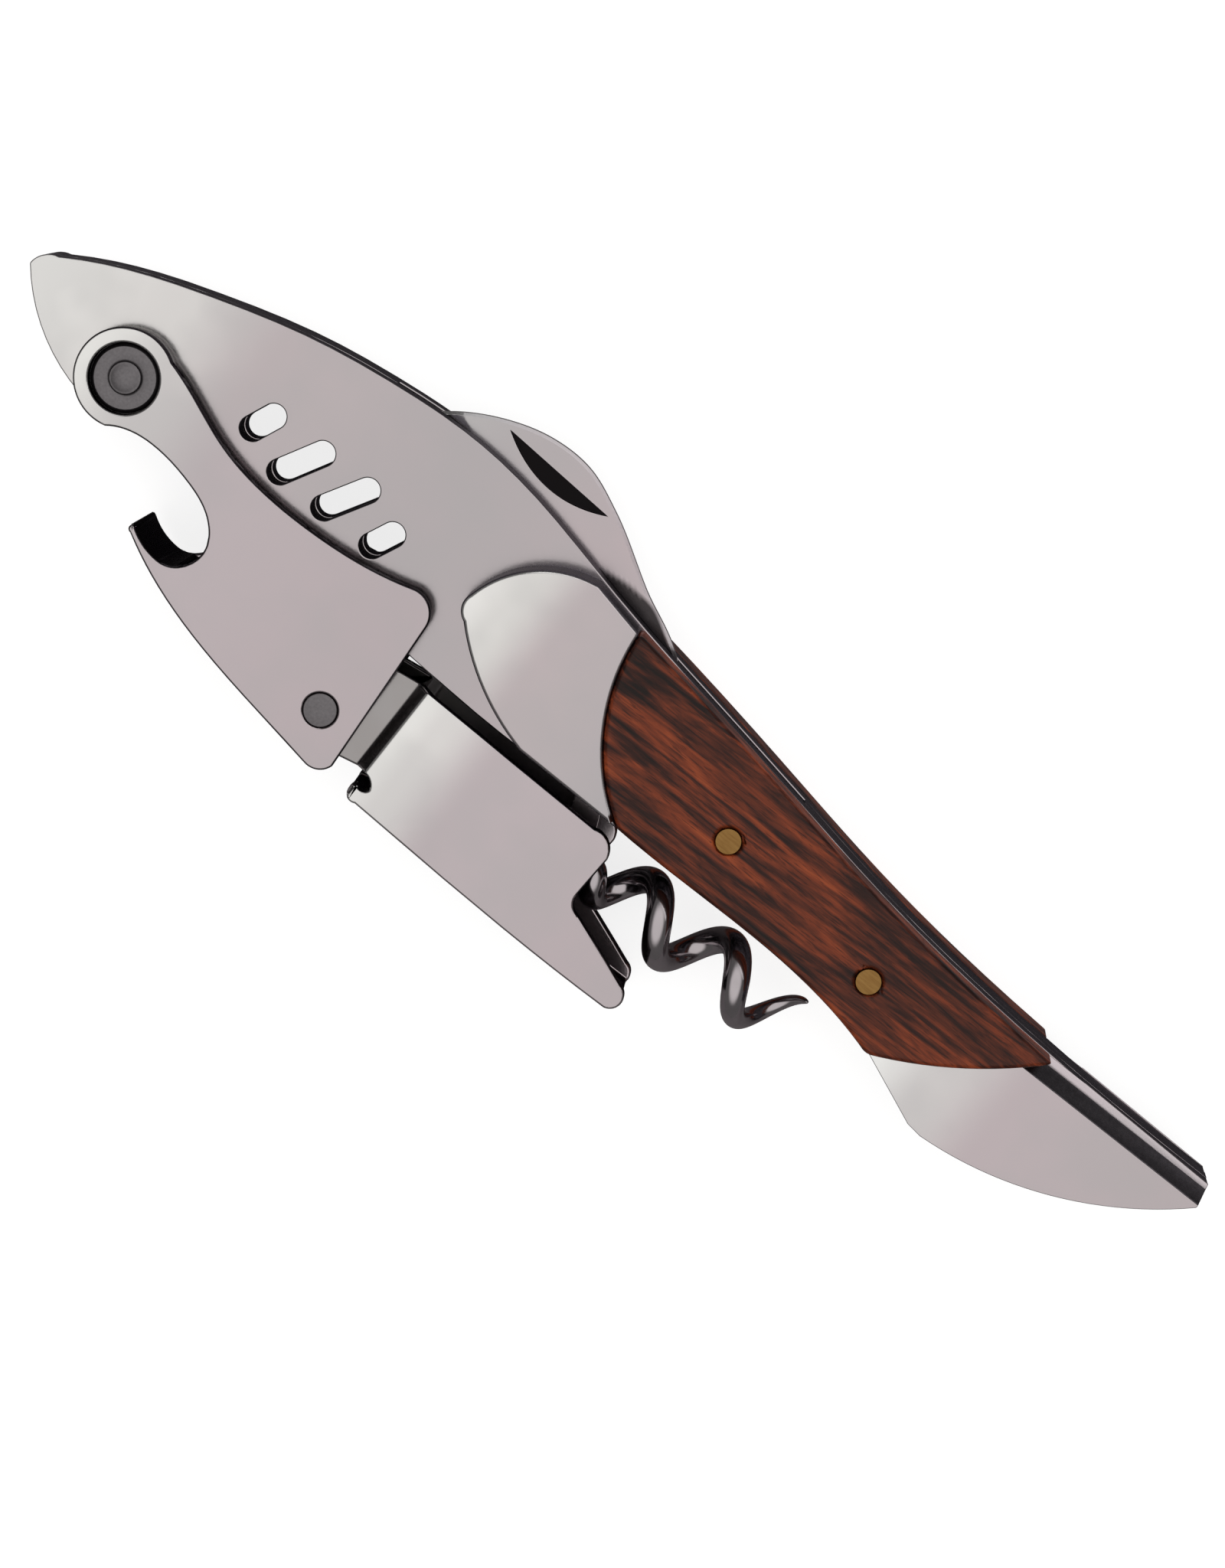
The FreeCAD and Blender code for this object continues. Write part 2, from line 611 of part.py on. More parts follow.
def worm_ring(x, end):
    """The wire's round section at one place, turned so that its start faces away from the axis."""
    step = 0.01
    centre, out = worm_point(x)
    along = (worm_point(x + step)[0] - centre).normalize()
    side = along.cross(out).normalize()
    out = side.cross(along)
    share = min(1.0, (end - x) / size("worm_taper_length"))
    radius = size("worm_point_radius") + (size("wire_radius") - size("worm_point_radius")) * share
    ring = Part.Wire([Part.makeCircle(radius)])
    ring.Placement = FreeCAD.Placement(FreeCAD.Matrix(
        out.x, side.x, along.x, centre.x, out.y, side.y, along.y, centre.y,
        out.z, side.z, along.z, centre.z, 0, 0, 0, 1))
    return ring


def worm():
    """The right-hand wire helix: short smooth lofts through rings about the wire, sewn end to end."""
    start = worm_root()
    length = size("worm_pitch") * size("worm_turns")
    stations = int(round(size("worm_turns") * RINGS_PER_TURN))
    rings = [worm_ring(start + length * number / stations, start + length)
             for number in range(stations + 1)]
    faces = [Part.Face(rings[0]), Part.Face(rings[-1])]
    for first in range(0, stations, RINGS_PER_SPAN):
        faces += Part.makeLoft(rings[first:first + RINGS_PER_SPAN + 1], False).Faces
    shell = Part.Shell(faces)
    shell.sewShape()
    made = doc.addObject("Part::Feature", "worm")
    made.Label = "worm"
    made.Shape = Part.Solid(shell)
    return finish(made)


def round_bar(name, place, radius, length):
    """A cylinder that lies along the object from a place, with both sizes as expressions."""
    bar = doc.addObject("Part::Cylinder", name)
    bar.setExpression("Radius", radius)
    bar.setExpression("Height", length)
    bar.Placement = FreeCAD.Placement(place, FreeCAD.Rotation(FreeCAD.Vector(0, 1, 0), 90))
    return bar


def worm_carrier():
    """The eye and arm that fold the worm out, with a collar that grips the root of the wire."""
    eye = new_body("worm_carrier_arm")
    disc = new_sketch(eye, "worm_carrier_disc")
    add_circles(disc, [at(*WORM_PIVOT)], "Sizes.eye_radius")
    pad(eye, disc, "Sizes.blade_thickness", middle=True)
    arm = new_sketch(eye, "worm_carrier_strip")
    pivot = at(*WORM_PIVOT)
    foot = carrier_foot()
    line = (foot - pivot).normalize()
    half = FreeCAD.Vector(-line.y, line.x, 0) * (size("carrier_arm_width") / 2)
    points = [pivot + half, foot + half, foot - half, pivot - half]
    draw(arm, points[0], [("line", point) for point in points[1:] + points[:1]])
    pad(eye, arm, "Sizes.blade_thickness", middle=True)
    holes(eye, "worm_carrier_bore", [WORM_PIVOT], "Sizes.worm_pin_radius + Sizes.running_clearance")
    collar = round_bar("worm_carrier_collar", at(WORM_COLLAR_X, WORM_AXIS_Y),
                       "Sizes.wire_radius + Sizes.collar_wall", "Sizes.collar_length")
    socket = round_bar("worm_carrier_socket",
                       at(0, WORM_AXIS_Y) + FreeCAD.Vector(worm_root(), 0, 0),
                       "Sizes.wire_radius + Sizes.braze_gap", "Sizes.collar_length")
    joined = doc.addObject("Part::MultiFuse", "worm_carrier_blank")
    joined.Shapes = [eye, collar]
    made = doc.addObject("Part::Cut", "worm_carrier")
    made.Base = joined
    made.Tool = socket
    made.Label = "worm_carrier"
    return finish(made)


# ---------------------------------------------------------------- assembly
def build():
    """Make every sub-part, in the order in which the object goes together."""
    nose_spacer()
    belly_spacer()
    tail_spacer()
    for word, side in (("front", 1), ("rear", -1)):
        body_plate("body_plate_" + word, side)
        bolster("bolster_" + word, side)
        scale("scale_" + word, side)
        tail_cap("tail_cap_" + word, side)
        lever_bush("lever_bush_" + word, side)
    finish(group("bolster_pins", [
        pin("bolster_pin_%d" % number, place, "Sizes.hidden_pin_radius",
            "(%s - Sizes.hidden_pin_cover)" % SCALE_OUT)
        for number, place in enumerate(BOLSTER_PINS, start=1)]))
    finish(group("tail_pins", [
        pin("tail_pin_%d" % number, place, "Sizes.hidden_pin_radius",
            "(%s - Sizes.hidden_pin_cover / 2)" % CAP_OUT)
        for number, place in enumerate(TAIL_PINS, start=1)]))
    finish(pin("scale_pin", SCALE_PIN, "Sizes.brass_pin_radius", SCALE_OUT))
    finish(pin("knife_pin", KNIFE_PIVOT, "Sizes.brass_pin_radius", SCALE_OUT))
    finish(pin("worm_pivot_pin", WORM_PIVOT, "Sizes.worm_pin_radius",
               "(%s - Sizes.hidden_pin_cover)" % SCALE_OUT))
    finish(pin("lever_pivot_pin", LEVER_PIVOT, "Sizes.pivot_radius",
               "(Sizes.lever_width / 2 - Sizes.bush_recess + Sizes.pin_crown * 2)"))
    lever_upper()
    finish(pin("lever_hinge_rivet", LEVER_HINGE, "Sizes.rivet_radius",
               "(Sizes.lever_width / 2 + Sizes.pin_crown)"))
    lever_lower()
    knife_blade()
    washers("knife_washers", KNIFE_PIVOT, "Sizes.brass_pin_radius")
    worm()
    worm_carrier()
    washers("worm_washers", WORM_PIVOT, "Sizes.worm_pin_radius")


def check_document():
    """Stop if any object failed to recompute or any sub-part has no sound shape."""
    for item in doc.Objects:
        if "Invalid" in item.State or "Error" in item.State:
            raise RuntimeError("%s is %s" % (item.Label, item.State))
    for node in nodes:
        if node.Shape.isNull() or not node.Shape.isValid() or node.Shape.Volume <= 0:
            raise RuntimeError("%s has no sound shape" % node.Label)


def set_down():
    """Move every sub-part so that the origin is under the middle of the whole object."""
    box = FreeCAD.BoundBox()
    for node in nodes:
        box.add(node.Shape.optimalBoundingBox())
    for node in nodes:
        node.Placement.Base = FreeCAD.Vector(-box.Center.x, -box.Center.y, -box.ZMin)
    print("origin moved by", -box.Center.x, -box.Center.y, -box.ZMin)


def write_parts():
    """Write one STEP file for each sub-part, named after its label."""
    os.makedirs("parts", exist_ok=True)
    for node in nodes:
        node.Shape.exportStep("parts/%s.step" % node.Label)
        print("%-20s %8.1f mm3 %d solids" % (node.Label, node.Shape.Volume, len(node.Shape.Solids)))


build()
doc.recompute()
check_document()
set_down()
doc.recompute()
check_document()
write_parts()
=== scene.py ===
import math
import bmesh
import bpy
import numpy as np
from mathutils import Matrix, Vector


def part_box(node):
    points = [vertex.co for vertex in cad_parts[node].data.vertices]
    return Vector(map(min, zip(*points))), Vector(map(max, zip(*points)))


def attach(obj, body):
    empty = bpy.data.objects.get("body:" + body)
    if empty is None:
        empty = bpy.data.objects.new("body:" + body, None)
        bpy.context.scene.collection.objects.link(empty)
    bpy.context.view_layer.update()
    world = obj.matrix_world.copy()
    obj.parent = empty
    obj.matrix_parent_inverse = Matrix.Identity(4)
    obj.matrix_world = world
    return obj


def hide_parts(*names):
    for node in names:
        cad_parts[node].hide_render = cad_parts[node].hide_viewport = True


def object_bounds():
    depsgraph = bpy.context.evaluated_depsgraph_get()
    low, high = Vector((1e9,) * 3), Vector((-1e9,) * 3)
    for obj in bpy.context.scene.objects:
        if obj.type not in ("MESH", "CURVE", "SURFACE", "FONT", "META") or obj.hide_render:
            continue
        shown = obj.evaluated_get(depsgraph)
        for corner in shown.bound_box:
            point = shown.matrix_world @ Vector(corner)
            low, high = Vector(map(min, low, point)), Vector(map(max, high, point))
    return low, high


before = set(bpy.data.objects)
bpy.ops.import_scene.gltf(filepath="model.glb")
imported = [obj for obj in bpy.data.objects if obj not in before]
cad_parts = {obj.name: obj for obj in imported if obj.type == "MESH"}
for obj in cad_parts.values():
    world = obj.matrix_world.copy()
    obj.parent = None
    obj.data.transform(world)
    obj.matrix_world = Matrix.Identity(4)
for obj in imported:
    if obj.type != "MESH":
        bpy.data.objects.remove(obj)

cad_low, cad_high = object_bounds()

# ------------------------------------------------------------ plates and spacers of the handle
# Two stamped plates of stainless steel with a slot for the knife between them, kept apart by
# three spacers. Their faces are bead-blasted to a satin skin, painted paler towards the nose as
# painted sheen; their blanked edges take a darker colour on the side walls, painted shade.
MM = 0.001
LEVER_PIVOT = (-55.8, -2.4)
pin_low, pin_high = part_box("lever_pivot_pin")
origin = (np.array(pin_low) + np.array(pin_high)) / 2 - np.array((*LEVER_PIVOT, 0.0)) * MM


def place(x, y, z=0.0):
    """A point given in millimetres about the middle of the handle, in the frame's metres."""
    return origin + np.array((x, y, z)) * MM


def linear(hex_colour):
    """An sRGB hex colour as the linear red, green, blue and alpha that a shader takes."""
    parts = np.array([int(hex_colour[i:i + 2], 16) / 255 for i in (1, 3, 5)])
    curved = ((parts + 0.055) / 1.055) ** 2.4
    return (*np.where(parts <= 0.04045, parts / 12.92, curved).tolist(), 1.0)


def add(tree, kind, inputs=None, **settings):
    """A node with its settings; each input is a value, or the socket that feeds it."""
    made = tree.nodes.new(kind)
    for name, value in settings.items():
        setattr(made, name, value)
    for name, value in (inputs or {}).items():
        if isinstance(value, bpy.types.NodeSocket):
            tree.links.new(value, made.inputs[name])
        else:
            made.inputs[name].default_value = value
    return made


def new_material(name, **settings):
    """A material with one Principled shader, its uniform values set on the shader's own sockets."""
    made = bpy.data.materials.new(name)
    made.use_nodes = True
    shader = made.node_tree.nodes["Principled BSDF"]
    for socket, value in settings.items():
        shader.inputs[socket.replace("_", " ")].default_value = value
    return made, made.node_tree, shader


def grain(tree, size_mm, detail=2.0, stretch=(1.0, 1.0, 1.0)):
    """Noise on object coordinates with blotches of about this size, longer where stretched."""
    spot = add(tree, "ShaderNodeTexCoord")
    scale = tuple(1.0 / (size_mm * MM * part) for part in stretch)
    moved = add(tree, "ShaderNodeMapping", {"Vector": spot.outputs["Object"], "Scale": scale})
    return add(tree, "ShaderNodeTexNoise", {"Vector": moved.outputs[0], "Scale": 1.0,
                                            "Detail": detail, "Roughness": 0.6})


def paint_ramp(node, stops):
    """Set a colour ramp's stops, given as (position, hex colour) pairs in order."""
    bands = node.color_ramp.elements
    bands[0].position, bands[1].position = stops[0][0], stops[-1][0]
    bands[0].color, bands[1].color = linear(stops[0][1]), linear(stops[-1][1])
    for position, colour in stops[1:-1]:
        bands.new(position).color = linear(colour)


def blasted(tree, shader, rough_low, rough_high):
    """A bead-blasted skin: the real dimples are finer, drawn just coarse enough to show."""
    dimples = grain(tree, 0.2)
    rough = add(tree, "ShaderNodeMapRange", {"Value": dimples.outputs[0], "To Min": rough_low,
                                             "To Max": rough_high})
    bump = add(tree, "ShaderNodeBump", {"Height": dimples.outputs[0], "Strength": 0.12,
                                        "Distance": 0.02 * MM})
    tree.links.new(rough.outputs[0], shader.inputs["Roughness"])
    tree.links.new(bump.outputs[0], shader.inputs["Normal"])


def satin_steel(name, bands, painted_shade=False):
    """Satin stainless whose colour drifts along the piece: paler bands are painted sheen and darker
    ones painted shade, laid over its own pinkish tone; bands are (place along the handle in
    millimetres, colour) pairs."""
    made, tree, shader = new_material(name, Metallic=1.0)
    first, last = bands[0][0], bands[-1][0]
    spot = add(tree, "ShaderNodeTexCoord")
    along = add(tree, "ShaderNodeSeparateXYZ", {"Vector": spot.outputs["Object"]})
    share = add(tree, "ShaderNodeMapRange", {"Value": along.outputs["X"],
                                             "From Min": place(first, 0)[0],
                                             "From Max": place(last, 0)[0]})
    tone = add(tree, "ShaderNodeValToRGB", {"Fac": share.outputs[0]})
    paint_ramp(tone, [((x - first) / (last - first), colour) for x, colour in bands])
    tone.color_ramp.interpolation = "EASE"
    cloud = grain(tree, 9.0)
    tint = add(tree, "ShaderNodeMapRange", {"Value": cloud.outputs[0], "From Min": 0.38,
                                            "From Max": 0.62, "To Max": 0.25})
    colour = add(tree, "ShaderNodeMix", {"Factor": tint.outputs[0], 6: tone.outputs[0],
                                         7: linear("#A6A5A6")}, data_type="RGBA")
    # The painted_shade attribute darkens it towards near black: painted shade in the blade's nail
    # nick and on its base beside the grip.
    if painted_shade:
        depth = add(tree, "ShaderNodeAttribute", attribute_name="painted_shade")
        colour = add(tree, "ShaderNodeMix", {"Factor": depth.outputs["Fac"],
                                             6: colour.outputs[2], 7: linear("#161415")},
                     data_type="RGBA")
    tree.links.new(colour.outputs[2], shader.inputs["Base Color"])
    blasted(tree, shader, 0.14, 0.24)
    return made


def edge_material(name, dark, light):
    """A blanked or milled edge: fine marks across the sheet, with a darker colour than the blasted
    face that is painted shade on the side walls, darkened again by the specular tint where it is
    seen at a low angle."""
    made, tree, shader = new_material(name, Metallic=1.0, Specular_Tint=linear("#8C8A8C"))
    marks = grain(tree, 0.5, 3.0, (1.0, 1.0, 4.0))
    tone = add(tree, "ShaderNodeMix", {"Factor": marks.outputs[0], 6: linear(dark),
                                       7: linear(light)}, data_type="RGBA")
    tree.links.new(tone.outputs[2], shader.inputs["Base Color"])
    blasted(tree, shader, 0.2, 0.34)
    return made


def dress(piece, body, slot_name, materials, *stands_for):
    """Give a finished piece its materials and its body, and hide the CAD nodes that it stands for.
    """
    for material in materials:
        piece.data.materials.append(material)
    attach(piece, body)
    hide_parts(*stands_for)


SHARP = math.radians(32)
MERGE_MM = 0.002
FLAT = math.radians(0.5)


def softened(node, width_mm, segments=3, steep=0.8):
    """The node's own shape with its sharp edges rounded: a merged copy of its mesh, then a bevel.
    Faces that stand steeper than the given share of upright take the second material, which on the
    steel pieces is a darker one that paints shade on the side walls."""
    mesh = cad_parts[node].data.copy()
    mesh.materials.clear()
    work = bmesh.new()
    work.from_mesh(mesh)
    bmesh.ops.remove_doubles(work, verts=work.verts, dist=MERGE_MM * MM)
    bmesh.ops.dissolve_limit(work, angle_limit=FLAT, verts=work.verts, edges=work.edges)
    for face in work.faces:
        face.material_index = int(abs(face.normal.z) < steep)
    work.to_mesh(mesh)
    work.free()
    mesh.shade_smooth()
    mesh.set_sharp_from_angle(angle=SHARP)
    piece = bpy.data.objects.new("soft_" + node, mesh)
    bpy.context.scene.collection.objects.link(piece)
    bevel = piece.modifiers.new("broken_edges", "BEVEL")
    bevel.width = width_mm * MM
    bevel.segments = segments
    bevel.limit_method = "ANGLE"
    bevel.angle_limit = SHARP
    bevel.use_clamp_overlap = False
    bevel.harden_normals = True
    return piece


edge_steel = edge_material("milled_edge_painted_shade_steel", "#77747A", "#94919A")
handle_steel = satin_steel("satin_stainless_handle", (
    (-69.0, "#E0E0DE"), (-56.0, "#CFCDCC"), (-46.0, "#B4ACAE"), (-25.0, "#ADA7A9"),
    (0.0, "#B2A8AB")))
for node, width in (("body_plate_front", 0.16), ("body_plate_rear", 0.16), ("nose_spacer", 0.05),
                    ("belly_spacer", 0.05), ("tail_spacer", 0.05)):
    dress(softened(node, width), "handle", "satin_steel", (handle_steel, edge_steel), node)


# ------------------------------------------------------------ bolsters
# Thick stainless cheeks in front of the wood, blanked, blasted on the face and pinned from
# inside. Their face edges are broken more widely than the plates'.
# The cheek's face is painted paler at its front end, painted sheen; its side walls take the darker
# edge colour, painted shade.
cheek_steel = satin_steel("satin_stainless_cheek", (
    (-19.5, "#E6E6E4"), (-15.5, "#D6D5D3"), (-10.0, "#B6ADAF"), (5.0, "#ABA7A9")))
for side in ("front", "rear"):
    dress(softened("bolster_" + side, 0.45, 4), "handle", "satin_steel",
          (cheek_steel, edge_steel), "bolster_" + side)


# ------------------------------------------------------------ wooden grips
# Two slabs of dense red-brown hardwood, sawn along the grain, oiled and buffed.
# Each is glued to its plate and held by two brass pins.
def hardwood(name):
    """Dark veins and orange streaks that run along the grip, with fine open pores."""
    made, tree, shader = new_material(name, Roughness=0.36, Specular_IOR_Level=0.22)
    streak = grain(tree, 0.75, 6.0, (14.0, 1.0, 1.0))
    vein = grain(tree, 3.4, 4.0, (5.5, 1.0, 1.0))
    for noise, wander in ((streak, 0.5), (vein, 1.1)):
        noise.inputs["Distortion"].default_value = wander
    both = add(tree, "ShaderNodeMix", {"Factor": 0.5, 2: streak.outputs[0], 3: vein.outputs[0]})
    ramp = add(tree, "ShaderNodeValToRGB", {"Fac": both.outputs[0]})
    paint_ramp(ramp, ((0.38, "#160906"), (0.445, "#38170E"), (0.505, "#602A17"), (0.565, "#83391D"),
                      (0.66, "#AA5029")))
    pores = grain(tree, 0.16, 2.0, (12.0, 1.0, 1.0))
    dark = add(tree, "ShaderNodeMapRange", {"Value": pores.outputs[0], "From Min": 0.34,
                                            "From Max": 0.45, "To Min": 0.6, "To Max": 0.0})
    toned = add(tree, "ShaderNodeMix", {"Factor": dark.outputs[0], 6: ramp.outputs[0],
                                        7: linear("#160907")}, data_type="RGBA")
    bump = add(tree, "ShaderNodeBump", {"Height": pores.outputs[0], "Strength": 0.2,
                                        "Distance": 0.03 * MM})
    tree.links.new(toned.outputs[2], shader.inputs["Base Color"])
    tree.links.new(bump.outputs[0], shader.inputs["Normal"])
    return made


wood = hardwood("oiled_red_brown_hardwood")
for side in ("front", "rear"):
    dress(softened("scale_" + side, 0.55, 5), "handle", "wood", (wood, wood), "scale_" + side)


# ------------------------------------------------------------ tail covers
# Stainless covers that carry the grip's line out to the tail, pinned from inside. The spine
# side is milled off in two bevels: the steeper, wider one takes a darker colour than the blasted
# face, painted shade. The face is painted paler at its end next to the grip, painted sheen.
tail_steel = satin_steel("satin_stainless_tail", (
    (36.0, "#E2E3E2"), (43.0, "#C8C5C5"), (50.0, "#B5ABAE"), (69.0, "#B0A8AA")))
blank_edge = edge_material("blanked_edge_painted_shade_steel", "#3A373A", "#565256")
for side in ("front", "rear"):
    dress(softened("tail_cap_" + side, 0.1), "handle", "satin_steel", (tail_steel, blank_edge),
          "tail_cap_" + side)


# ------------------------------------------------------------ brass pins
# Round brass bar, riveted through both grips and filed flush with the wood.
def surface(name, rows, values=None):
    """A closed skin over rows of points: each row joins up round, and flat ends close the first and
    last rows. Values, one for each point, are kept as the painted_shade attribute, the share of
    painted shade at each point."""
    count, across = rows.shape[:2]
    index = np.arange(count * across).reshape(count, across)
    turned = np.roll(index, -1, axis=1)
    quads = np.stack([index[:-1], turned[:-1], turned[1:], index[1:]], axis=-1).reshape(-1, 4)
    mesh = bpy.data.meshes.new(name)
    mesh.from_pydata(rows.reshape(-1, 3).tolist(), [],
                     quads.tolist() + [index[0][::-1].tolist(), index[-1].tolist()])
    if values is not None:
        mesh.attributes.new("painted_shade", "FLOAT", "POINT").data.foreach_set(
            "value", values.reshape(-1).astype(np.float32))
    work = bmesh.new()
    work.from_mesh(mesh)
    bmesh.ops.remove_doubles(work, verts=work.verts, dist=0.0005 * MM)
    bmesh.ops.recalc_face_normals(work, faces=work.faces)
    work.to_mesh(mesh)
    work.free()
    mesh.shade_smooth()
    mesh.set_sharp_from_angle(angle=SHARP)
    piece = bpy.data.objects.new(name, mesh)
    bpy.context.scene.collection.objects.link(piece)
    return piece


def turned_piece(name, spot, profile, around=72):
    """A profile of (radius, height) pairs in millimetres, spun about an upright axis at a spot."""
    angle = np.linspace(0, 2 * np.pi, around, endpoint=False)
    radius, high = np.array(profile).T
    rows = np.stack([radius[:, None] * np.cos(angle), radius[:, None] * np.sin(angle),
                     np.repeat(high[:, None], around, axis=1)], axis=-1)
    return surface(name, place(*spot) + rows * MM)


def domed(radius, half, crown, edge, steps=8):
    """Half a headed pin's outline, doubled about its middle: a straight side, a quarter-round edge
    and a dome whose height falls with the square of the radius."""
    turn = np.linspace(0, np.pi / 2, steps)
    corner = np.stack([radius - edge + edge * np.cos(turn),
                       half - crown - edge + edge * np.sin(turn)], axis=-1)
    inner = (radius - edge) * (1 - np.linspace(0.12, 0.999, steps))
    cap = np.stack([inner, half - crown * (inner / (radius - edge)) ** 2], axis=-1)
    top = np.concatenate([corner, cap])
    return np.concatenate([top[::-1] * (1, -1), top])


brass, tree, shader = new_material("filed_brass", Metallic=1.0)
file_marks = grain(tree, 0.25, 2.0, (8.0, 1.0, 1.0))
brass_tone = add(tree, "ShaderNodeMix", {"Factor": file_marks.outputs[0], 6: linear("#6E4E29"),
                                         7: linear("#9A7847")}, data_type="RGBA")
tree.links.new(brass_tone.outputs[2], shader.inputs["Base Color"])
blasted(tree, shader, 0.32, 0.44)

KNIFE_PIVOT = (13.6, -1.2)
SCALE_PIN = (31.8, -3.4)
GRIP_OUT = 6.95
BRASS_RADIUS = 1.2
for name, spot in (("knife_pin", KNIFE_PIVOT), ("scale_pin", SCALE_PIN)):
    dress(turned_piece("filed_" + name, spot, domed(BRASS_RADIUS, GRIP_OUT, 0.03, 0.05)),
          "handle", "brass", (brass,), name)


# ------------------------------------------------------------ lever axle and its bushes
# A headed steel axle through both plates, and a shouldered bush each side that the upper lever
# swings on. All three are turned and chemically blackened.
black, tree, shader = new_material("blackened_steel", Metallic=1.0)
speck = grain(tree, 0.25)
black_tone = add(tree, "ShaderNodeMix", {"Factor": speck.outputs[0], 6: linear("#5E5B5D"),
                                         7: linear("#777476")}, data_type="RGBA")
tree.links.new(black_tone.outputs[2], shader.inputs["Base Color"])
blasted(tree, shader, 0.28, 0.42)

AXLE_RADIUS = 1.5
AXLE_HALF = 5.15
dress(turned_piece("turned_lever_axle", LEVER_PIVOT, domed(AXLE_RADIUS, AXLE_HALF, 0.28, 0.12)),
      "handle", "blackened_steel", (black,), "lever_pivot_pin")
BUSH = np.array(((1.5, 2.95), (4.4, 2.95), (4.4, 4.17), (3.24, 4.17), (3.24, 4.48), (3.16, 4.6),
                 (2.9, 4.85), (2.84, 4.87), (1.72, 4.82), (1.6, 4.76), (1.52, 4.7), (1.5, 4.6),
                 (1.5, 2.95)))
for side, sign in (("front", 1), ("rear", -1)):
    dress(turned_piece("turned_bush_" + side, LEVER_PIVOT, BUSH * (1, sign)), "handle",
          "blackened_steel", (black,), "lever_bush_" + side)


# ------------------------------------------------------------ levers
# Stainless sheet folded to a channel: the upper lever carries the crown-cap lifter, and the
# lower one the end claw. A blackened rivet joins them, headed over on both cheeks.
LEVER_HINGE = (-23.2, -15.4)
LEVER_OUT = 5.55
# The upper lever is painted paler towards its lifter end, painted sheen; its side walls take the
# darker blanked-edge colour, painted shade.
upper_steel = satin_steel("satin_stainless_upper_lever", (
    (-60.0, "#DCDCDA"), (-52.0, "#C4C1C1"), (-44.0, "#B5ACAF"), (-20.0, "#B2A8AB")))
LEVER_BREAK = 0.28
dress(softened("lever_upper", LEVER_BREAK), "upper_lever", "satin_steel",
      (upper_steel, blank_edge), "lever_upper")
# The lower lever's tongue, which lies under the upper lever's cheek, is painted darker as painted
# shade; the strip just past its step is painted paler as painted sheen.
lower_steel = satin_steel("satin_stainless_lower_lever", (
    (-27.0, "#8A8688"), (-17.6, "#94908F"), (-16.4, "#E2E2E0"), (-13.5, "#D4D2D1"),
    (-7.5, "#B5ACAF"), (15.0, "#B2A8AB")))
dress(softened("lever_lower", LEVER_BREAK, steep=0.5), "lower_lever", "satin_steel",
      (lower_steel, blank_edge), "lever_lower")
RIVET_RADIUS = 1.58
RIVET_PROUD = 0.15
dress(turned_piece("headed_lever_rivet", LEVER_HINGE,
                   domed(RIVET_RADIUS, LEVER_OUT + RIVET_PROUD, 0.16, 0.1)),
      "upper_lever", "blackened_steel", (black,), "lever_hinge_rivet")


# ------------------------------------------------------------ foil knife
# A blade ground from flat stainless strip: its humped back stands out of the spine as the fin,
# with a nail nick cut in each side, and its hidden edge is ground thin. It folds on a brass pin.
def smooth_line(points, x):
    """The height of a smooth curve through points in order of x, at every x asked for: a cubic
    between each two points whose slope at a point is the mean of its neighbours' slopes."""
    px, py = np.array(points, dtype=float).T
    slope = np.gradient(py, px)
    first = np.clip(np.searchsorted(px, x) - 1, 0, len(px) - 2)
    gap = px[first + 1] - px[first]
    t = np.clip((x - px[first]) / gap, 0, 1)
    return ((1 + 2 * t) * (1 - t) ** 2 * py[first] + t * (1 - t) ** 2 * gap * slope[first]
            + t * t * (3 - 2 * t) * py[first + 1] + t * t * (t - 1) * gap * slope[first + 1])


BLADE_BACK = ((-33.0, 11.3), (-30.2, 13.55), (-26.0, 15.85), (-21.5, 17.1), (-17.3, 17.0),
              (-13.0, 15.3), (-6.5, 11.5), (0.4, 7.6), (3.2, 4.6), (5.6, 1.6), (9.0, 0.6),
              (11.4, 1.1), (13.6, 2.0), (15.4, 1.4), (16.8, -1.2))
BLADE_EDGE = ((-33.0, 11.3), (-28.0, 7.8), (-20.0, 4.6), (-8.0, 1.2), (2.0, -1.4), (8.6, -2.4),
              (11.5, -3.6), (13.6, -4.4), (15.6, -3.7), (16.8, -1.2))
# The arc below which the blade's flat base beside the grip is painted near black: painted shade.
BASE_SHADE_ARC = ((-11.1, 10.3), (-8.5, 10.8), (-6.7, 10.8), (-5.1, 10.6), (-1.6, 8.7))
NICK_START = (-25.4, 15.3)
NICK_END = (-13.4, 14.6)
NICK_REACH = 1.75
NICK_DEPTH = 0.42
BLADE_HALF = 0.65
EDGE_HALF = 0.12
SWAGE_WIDTH = 0.32
SWAGE_DROP = 0.2
BLADE_SPAN = 49.8
GROUND_TO = 3.0
GRIND_WIDTH = 5.0
WALL_HALF = 0.03
BASE_SHADE_PAST = 4.0
BASE_SHADE_SOFT = 0.4


